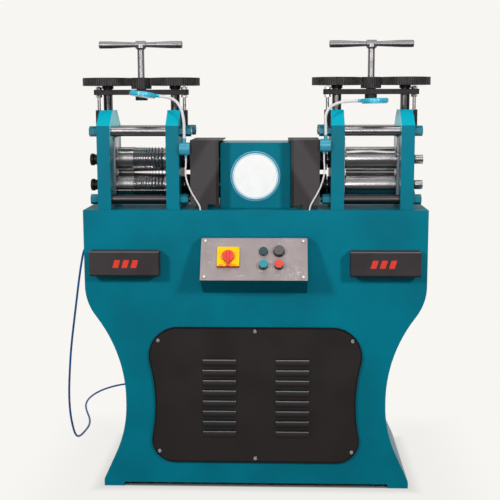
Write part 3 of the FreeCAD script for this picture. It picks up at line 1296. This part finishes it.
def lamp_neck_route(side, base_z):
    """Neck axis from the collar up and over towards the rolls."""
    start = base_z + LAMP_BASE_D / 2 + LAMP_COLLAR_H
    if side < 0:
        offsets = [(0, 0), (0, 44), (-6, 76), (-20, 98), (-40, 108), (-64, 111)]
    else:
        offsets = [(0, 0), (0, 26), (-2, 49), (8, 71), (33, 84), (61, 87.5), (83, 88)]
    return [V(side * LAMP_X + x, LAMP_Y, start + z) for x, z in offsets]


def build_lamps():
    bases = []
    leads = []
    lamps = ((-1, "left", LEFT_LAMP_RISE, LEFT_LAMP_TILT), (1, "right", RIGHT_LAMP_RISE, RIGHT_LAMP_TILT))
    for side, name, rise, tilt in lamps:
        z = DECK_Z + rise
        x = side * LAMP_X
        ends = sorted((side * GUARD_OUTER, side * (GUARD_OUTER + LAMP_BASE_L)))
        base = cyl_x(ends[0], ends[1], LAMP_Y, z, LAMP_BASE_D)
        rim = [e for e in base.Edges if hasattr(e.Curve, "Center")]
        base = base.makeFillet(LAMP_BASE_EDGE_R, rim)
        collar = cyl_z(x, LAMP_Y, z, z + LAMP_BASE_D / 2 + LAMP_COLLAR_H, LAMP_COLLAR_D)
        boss_x = side * (GUARD_OUTER + LAMP_BOSS_X)
        boss_end = z - LAMP_BASE_D / 2 - LAMP_BOSS_L
        boss = cyl_z(boss_x, LAMP_Y, boss_end, z, LAMP_BOSS_D)
        bases.append(fuse_all([base, collar, boss]))

        route = lamp_neck_route(side, z)
        neck, length, bends = tube(route, LAMP_NECK_D)
        print(name, "lamp neck", round(length, 1), [round(b) for b in bends])
        save(name + "_lamp_neck", neck)

        end = route[-1]
        before = route[-2]
        along = (end - before).normalize()
        head = cyl_z(0, 0, 0, LAMP_HEAD_H, LAMP_HEAD_D)
        head = head.makeFillet(LAMP_HEAD_EDGE_R, [top_edge(head, V(0, 0, LAMP_HEAD_H))])
        lens = cyl_z(0, 0, -LAMP_LENS_H, JOIN, LAMP_LENS_D)
        radius = LAMP_HEAD_D / 2
        socket = cyl_x(-radius - LAMP_SOCKET_L, -radius + LAMP_SOCKET_SINK, 0, LAMP_HEAD_H / 2, LAMP_SOCKET_D)
        lamp = fuse_all([head, lens, socket])
        pitch = math.degrees(math.atan2(along.z, along.x * side))
        lamp.translate(V(radius + LAMP_SOCKET_L, 0, -LAMP_HEAD_H / 2))
        lamp.rotate(V(0, 0, 0), V(1, 0, 0), -tilt)
        lamp.rotate(V(0, 0, 0), V(0, 1, 0), -pitch)
        if side < 0:
            lamp = mirrored(lamp)
        lamp.translate(end)
        save(name + "_lamp_head", lamp)

        fall = boss_end - DECK_Z
        points = [V(boss_x, LAMP_Y, boss_end)]
        for out, y_back, share in LEAD_BENDS:
            points.append(V(side * (GUARD_OUTER + out), FRONT_Y + y_back, DECK_Z + fall * share))
        points.append(V(side * LEAD_HOLE_X, LEAD_HOLE_Y, DECK_Z + LEAD_STRAIGHT))
        points.append(V(side * LEAD_HOLE_X, LEAD_HOLE_Y, DECK_Z - DECK_THICK - LEAD_TAIL))
        lead, length, bends = tube(points, LEAD_D)
        print(name, "lead", round(length, 1), [round(b) for b in bends])
        leads.append(lead)
    save("lamp_bases", *bases)
    save("lamp_leads", *leads)


# ---------------------------------------------------------------- mains cord
CORD_Y = FRONT_Y + CORD_DEPTH
FLOOR_Z = CORD_D / 2 + 0.05


def cord_route():
    """Cord axis: out of the gland, down beside the cabinet, back along the floor, round behind it."""
    hanging = [
        (-SIDE_X - GLAND_REACH, 0, CORD_EXIT_Z),
        (-SIDE_X - 52, 0, CORD_EXIT_Z), (-SIDE_X - 72, 0, 612), (-SIDE_X - 81, 0, 568),
        (-SIDE_X - 90, 0, 515), (-SIDE_X - 99, 0, 452),
        (-SIDE_X - 109, 0, 384), (-SIDE_X - 120, 0, 305), (-SIDE_X - 127, 1, 228), (-SIDE_X - 131, 0, 156),
        (-SIDE_X - 129, -1, 97), (-SIDE_X - 122, 0, 50), (-SIDE_X - 116, 12, 18),
    ]
    lying = [
        (-571, 46), (-564, 104), (-562, 165), (-575, 232), (-598, 300), (-618, 372), (-624, 446), (-612, 520),
        (-584, 584), (-541, 634), (-480, 662), (-412, 664), (-350, 640), (-304, 596), (-280, 540), (-276, 480),
        (-283, 420),
    ]
    points = [V(x, CORD_Y + y, z) for x, y, z in hanging]
    points += [V(x, CORD_Y + y, FLOOR_Z) for x, y in lying]
    return points


def build_cord():
    nut = hexagon_x(-SIDE_X - GLAND_NUT_L, -SIDE_X, CORD_Y, CORD_EXIT_Z, GLAND_D)
    steps = (
        (-GLAND_CAP_END, JOIN - GLAND_NUT_L, GLAND_CAP_D),
        (-GLAND_REACH, JOIN - GLAND_CAP_END, GLAND_TIP_D),
        (-JOIN, SHEET + GLAND_BARREL_L, GLAND_BARREL_D),
    )
    pieces = [nut]
    for x0, x1, diameter in steps:
        pieces.append(cyl_x(-SIDE_X + x0, -SIDE_X + x1, CORD_Y, CORD_EXIT_Z, diameter))
    save("cord_gland", fuse_all(pieces))

    points = cord_route()
    cord, length, bends = tube(points, CORD_D)
    section = math.pi * CORD_D ** 2 / 4
    print("cord length", round(length, 1), "volume ratio", round(cord.Volume / (section * length), 4))
    print("cord bends", [round(b) for b in bends])
    save("mains_cord", cord)

    end = points[-1]
    centre = V(end.x - COIL_MEAN_D / 2, end.y - COIL_TOUCH, 0)
    coil = Part.makeCylinder((COIL_MEAN_D + COIL_SECTION) / 2, 2 * CORD_D, centre, V(0, 0, 1))
    coil = coil.cut(Part.makeCylinder((COIL_MEAN_D - COIL_SECTION) / 2, 2 * CORD_D, centre, V(0, 0, 1)))
    save("cord_coil", coil)

    x = centre.x - COIL_MEAN_D / 2
    plug_y = centre.y + COIL_TOUCH
    z = PLUG_AXIS_Z
    relief_start = V(x, plug_y, CORD_D + PLUG_RELIEF_LIFT)
    relief = Part.makeCone(PLUG_RELIEF_D0 / 2, PLUG_RELIEF_D1 / 2, PLUG_RELIEF_L, relief_start,
                           V(0, 1, PLUG_RELIEF_SLOPE))
    body_y = plug_y + PLUG_BODY_SETBACK
    pin_y = body_y + PLUG_BODY_L
    body = cyl_y(x, body_y, pin_y, z, PLUG_BODY_D)
    pins = []
    for dx in (-PLUG_PIN_HALF, PLUG_PIN_HALF):
        pins.append(cyl_y(x + dx, pin_y - JOIN, pin_y + PLUG_PIN_L, z, PLUG_PIN_D))
    save("mains_plug", fuse_all([body, relief] + pins))


build_cabinet()
build_cover()
build_panel_screws()
build_control_box()
build_stop_bars()
build_bridges(*build_head_frames())
build_chocks()
build_rolls()
build_screws()
build_handles()
build_wire_guide()
build_housing()
save("left_coupling_guard", guard(-1))
save("right_coupling_guard", guard(1))
build_shafts()
build_motor()
build_lamps()
build_cord()
